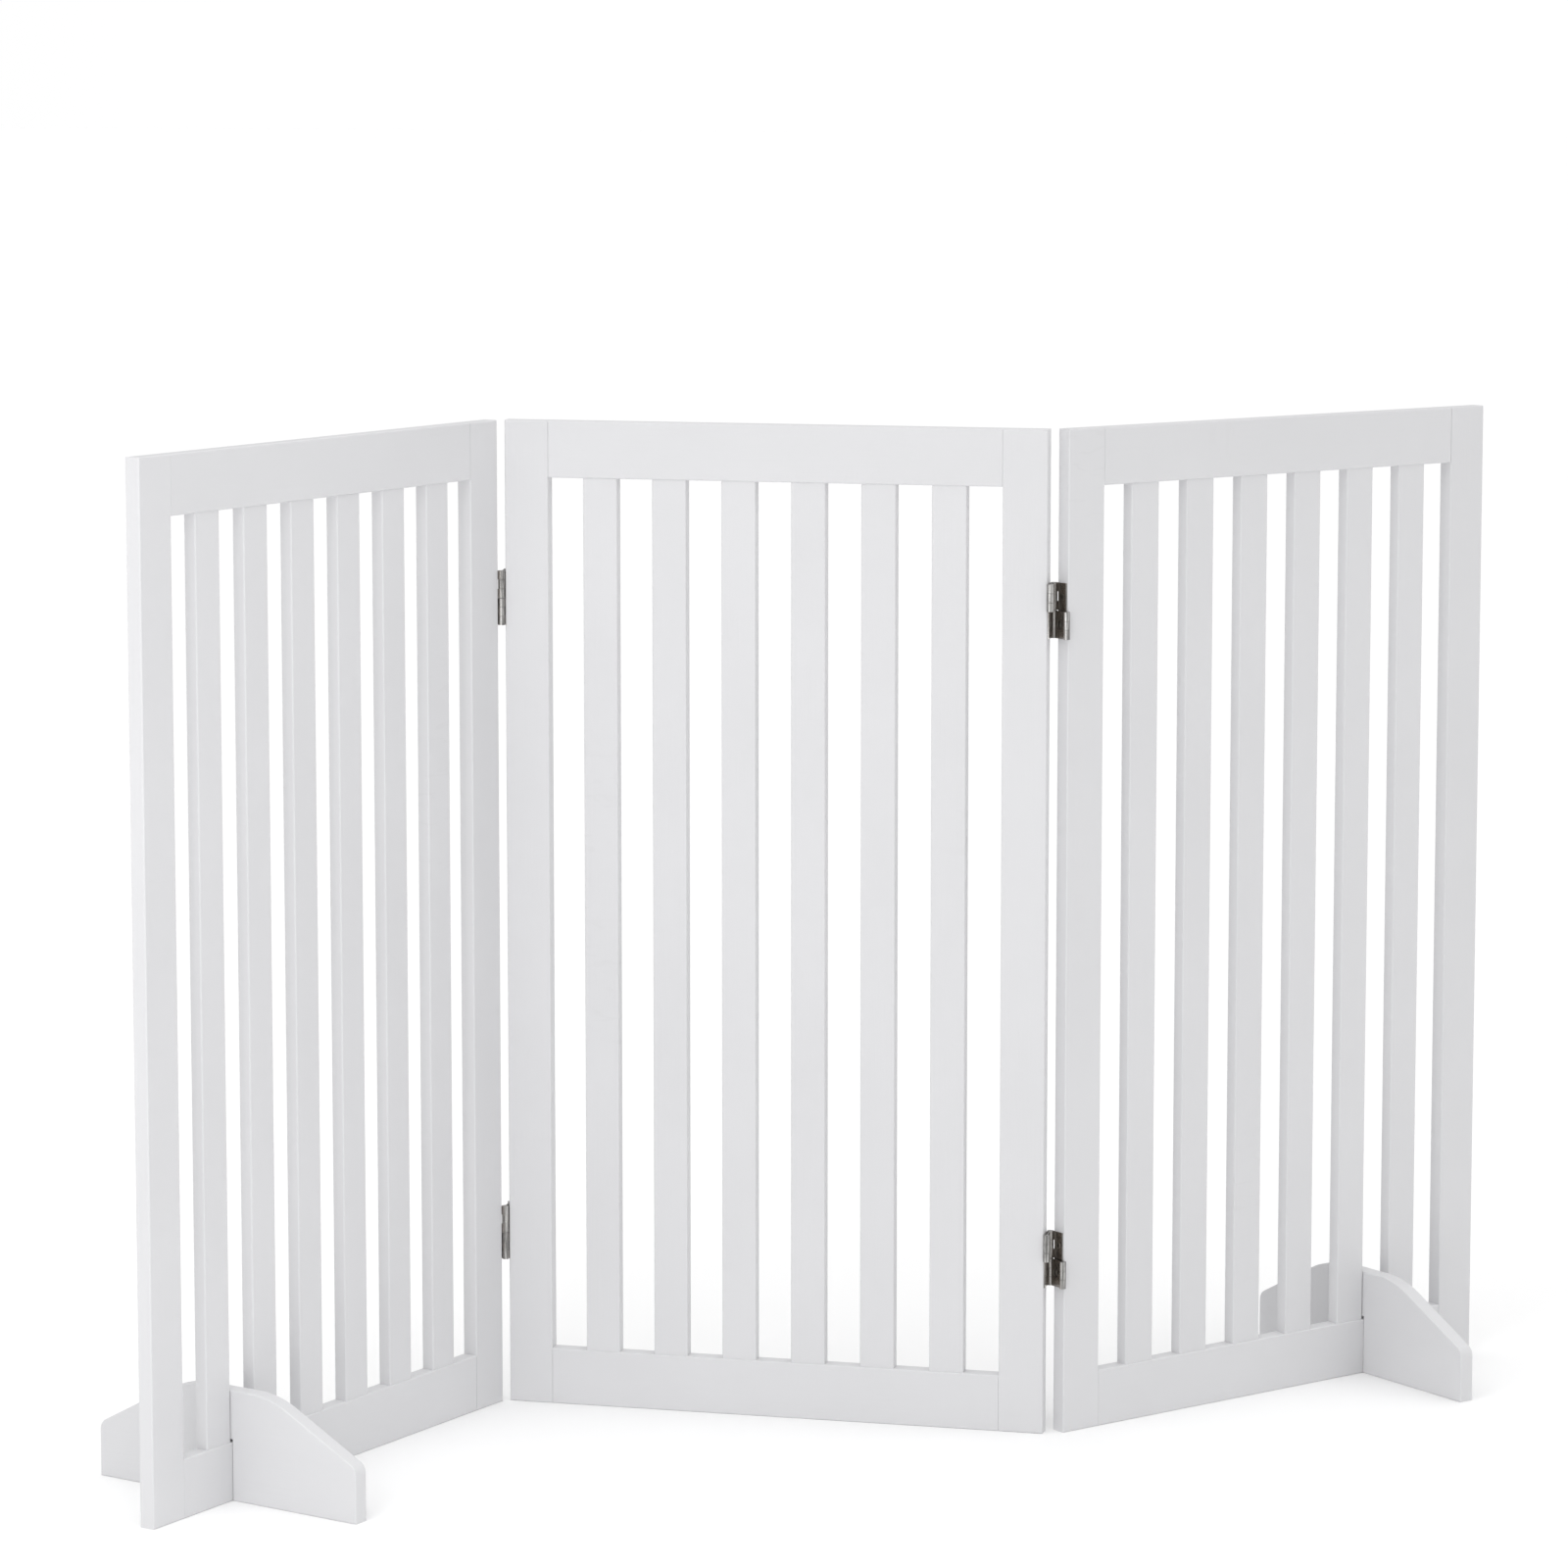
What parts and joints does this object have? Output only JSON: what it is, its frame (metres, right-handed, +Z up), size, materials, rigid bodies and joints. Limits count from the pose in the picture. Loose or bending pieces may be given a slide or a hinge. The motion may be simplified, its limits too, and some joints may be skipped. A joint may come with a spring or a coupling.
{
  "type": "pet gate",
  "caption": "Free-standing folding pet gate of slatted painted-wood panels on double-acting steel hinges, with slotted support feet on the outer panels",
  "frame": {"origin": "on the floor under the middle of the middle panel, half way through its thickness", "axes": "+X to the viewer's right along the middle panel, -Y toward the viewer, +Z up"},
  "size_m": [1.1496, 0.8793, 0.915],
  "materials": {
    "painted_wood": "satin white paint over solid wood, lightly rounded edges",
    "dowel_wood": "bare hardwood dowel, hidden in the joints",
    "hinge_steel": "bright nickel-plated pressed steel",
    "pin_steel": "drawn steel pin",
    "screw_steel": "plated cross-head screw"
  },
  "bodies": {
    "middle_panel": {"left_gap_lower_hinge_middle_leaf": "hinge_steel", "left_gap_lower_hinge_upper_link": "hinge_steel", "left_gap_middle_pins": "pin_steel", "left_gap_upper_hinge_middle_leaf": "hinge_steel", "left_gap_upper_hinge_upper_link": "hinge_steel", "middle_bottom_rail": "painted_wood", "middle_dowels": "dowel_wood", "middle_left_stile": "painted_wood", "middle_right_stile": "painted_wood", "middle_screws": "screw_steel", "middle_slat_1": "painted_wood", "middle_slat_2": "painted_wood", "middle_slat_3": "painted_wood", "middle_slat_4": "painted_wood", "middle_slat_5": "painted_wood", "middle_slat_6": "painted_wood", "middle_top_rail": "painted_wood", "right_gap_lower_hinge_middle_leaf": "hinge_steel", "right_gap_lower_hinge_upper_link": "hinge_steel", "right_gap_middle_pins": "pin_steel", "right_gap_upper_hinge_middle_leaf": "hinge_steel", "right_gap_upper_hinge_upper_link": "hinge_steel"},
    "left_panel": {"left_bottom_rail": "painted_wood", "left_dowels": "dowel_wood", "left_gap_left_pins": "pin_steel", "left_gap_lower_hinge_left_leaf": "hinge_steel", "left_gap_lower_hinge_lower_link": "hinge_steel", "left_gap_upper_hinge_left_leaf": "hinge_steel", "left_gap_upper_hinge_lower_link": "hinge_steel", "left_inner_stile": "painted_wood", "left_outer_stile": "painted_wood", "left_screws": "screw_steel", "left_slat_1": "painted_wood", "left_slat_2": "painted_wood", "left_slat_3": "painted_wood", "left_slat_4": "painted_wood", "left_slat_5": "painted_wood", "left_slat_6": "painted_wood", "left_top_rail": "painted_wood"},
    "right_panel": {"right_bottom_rail": "painted_wood", "right_dowels": "dowel_wood", "right_gap_lower_hinge_lower_link": "hinge_steel", "right_gap_lower_hinge_right_leaf": "hinge_steel", "right_gap_right_pins": "pin_steel", "right_gap_upper_hinge_lower_link": "hinge_steel", "right_gap_upper_hinge_right_leaf": "hinge_steel", "right_inner_stile": "painted_wood", "right_outer_stile": "painted_wood", "right_screws": "screw_steel", "right_slat_1": "painted_wood", "right_slat_2": "painted_wood", "right_slat_3": "painted_wood", "right_slat_4": "painted_wood", "right_slat_5": "painted_wood", "right_slat_6": "painted_wood", "right_top_rail": "painted_wood"},
    "left_foot": {"left_foot": "painted_wood"},
    "right_foot": {"right_foot": "painted_wood"}
  },
  "joints": [
    {"name": "left_fold", "type": "hinge", "parent": "middle_panel", "child": "left_panel", "pos_m": [-0.2551, -0.009, 0], "axis": [0, 0, 1], "range_deg": [-70.5, 87.5]},
    {"name": "right_fold", "type": "hinge", "parent": "middle_panel", "child": "right_panel", "pos_m": [0.2551, 0.009, 0], "axis": [0, 0, 1], "range_deg": [-49.5, 108.5]},
    {"name": "left_foot_lift", "type": "slide", "parent": "left_panel", "child": "left_foot", "axis": [0, 0, 1], "range_m": [0, 0.06]},
    {"name": "right_foot_lift", "type": "slide", "parent": "right_panel", "child": "right_foot", "axis": [0, 0, 1], "range_m": [0, 0.06]}
  ]
}
